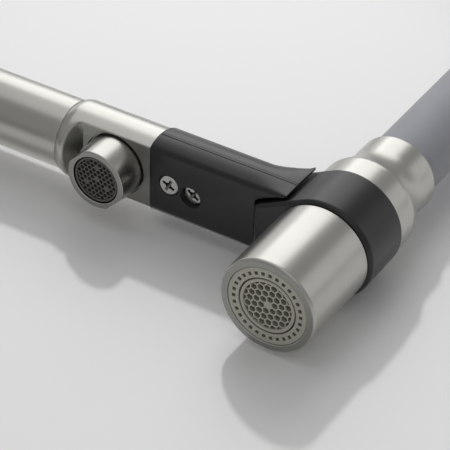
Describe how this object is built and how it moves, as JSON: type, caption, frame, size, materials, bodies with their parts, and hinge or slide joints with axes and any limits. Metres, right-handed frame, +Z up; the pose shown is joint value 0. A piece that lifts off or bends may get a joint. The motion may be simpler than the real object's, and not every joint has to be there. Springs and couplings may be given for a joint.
{
  "type": "flexible kitchen faucet",
  "caption": "Kitchen faucet with a column on a deck flange, a side arm with a small outlet, an arched flexible hose and a spray head docked on the arm.",
  "frame": {"origin": "on the deck plane under the base flange, at the column's axis", "axes": "+Z up along the column, +X along the arm from the column to the spray head, +Y to the mixer lever's side"},
  "size_m": [0.2956, 0.1133, 0.568],
  "materials": {
    "satin_nickel": "satin",
    "black_plastic": "matte",
    "silicone": "matte",
    "nickel_plastic": "satin",
    "grey_plastic": "matte",
    "white_plastic": "matte",
    "brass": "turned",
    "steel": "plain",
    "magnet": "plated",
    "rubber": "matte"
  },
  "bodies": {
    "base": {"base_flange": "satin_nickel", "deck_gasket": "rubber", "mounting_shank": "brass", "under_deck_seal": "rubber", "deck_washer": "steel", "lock_nut": "brass", "valve_body": "satin_nickel", "cartridge_seal": "rubber", "mixer_cartridge": "white_plastic", "cartridge_nut": "brass", "mixer_dome": "satin_nickel", "filter_valve": "brass", "filter_collar": "satin_nickel", "thrust_washer": "white_plastic", "swivel_retainer": "steel"},
    "mixer_rotor": {"cartridge_rotor": "white_plastic", "pivot_pin": "steel"},
    "mixer_handle": {"cartridge_stem": "brass", "mixer_hub": "satin_nickel", "mixer_lever": "satin_nickel", "lever_grub_screw": "steel", "lever_plug": "white_plastic"},
    "filter_handle": {"filter_spindle": "brass", "filter_hub": "satin_nickel", "filter_lever": "satin_nickel", "filter_grub_screw": "steel"},
    "spout": {"swivel_spigot": "brass", "swivel_orings": "rubber", "riser_tube": "satin_nickel", "arm_tube": "satin_nickel", "riser_hose": "white_plastic", "filter_tube": "white_plastic", "hose_collar": "satin_nickel", "riser_nipple": "brass", "hose_sleeve": "silicone", "hose_spring": "steel", "water_hose": "white_plastic", "arm_end": "satin_nickel", "outlet_housing": "satin_nickel", "outlet_seal": "rubber", "outlet_insert": "grey_plastic", "dock_bracket": "black_plastic", "dock_screws": "steel", "dock_magnet": "magnet"},
    "spray_head": {"spray_core": "white_plastic", "nozzle_seal": "rubber", "dock_ring": "black_plastic", "ring_magnet": "magnet", "spray_neck": "satin_nickel", "spray_nipple": "brass"},
    "spray_nozzle": {"nozzle_barrel": "satin_nickel", "spray_plate": "nickel_plastic", "spray_honeycomb": "nickel_plastic", "diverter_disc": "white_plastic"}
  },
  "joints": [
    {"name": "spout_swivel", "type": "hinge", "parent": "base", "child": "spout", "pos_m": [0, 0, 0.118], "axis": [0, 0, 1], "range_deg": [-180, 180]},
    {"name": "spray_head_pull", "type": "slide", "parent": "spout", "child": "spray_head", "axis": [1, 0, 0], "range_m": [0, 0.04], "deforming": ["hose_sleeve", "hose_spring", "water_hose"]},
    {"name": "nozzle_twist", "type": "hinge", "parent": "spray_head", "child": "spray_nozzle", "pos_m": [0.25, 0, 0.2127], "axis": [0, 0, 1], "range_deg": [0, 90]},
    {"name": "mixer_turn", "type": "hinge", "parent": "base", "child": "mixer_rotor", "pos_m": [0, 0.038, 0.066], "axis": [0, 1, 0], "range_deg": [-45, 45]},
    {"name": "mixer_lift", "type": "hinge", "parent": "mixer_rotor", "child": "mixer_handle", "pos_m": [0, 0.038, 0.066], "axis": [-1, 0, 0], "range_deg": [0, 25]},
    {"name": "filter_turn", "type": "hinge", "parent": "base", "child": "filter_handle", "pos_m": [0, 0, 0.066], "axis": [0, 1, 0], "range_deg": [0, 90]}
  ]
}
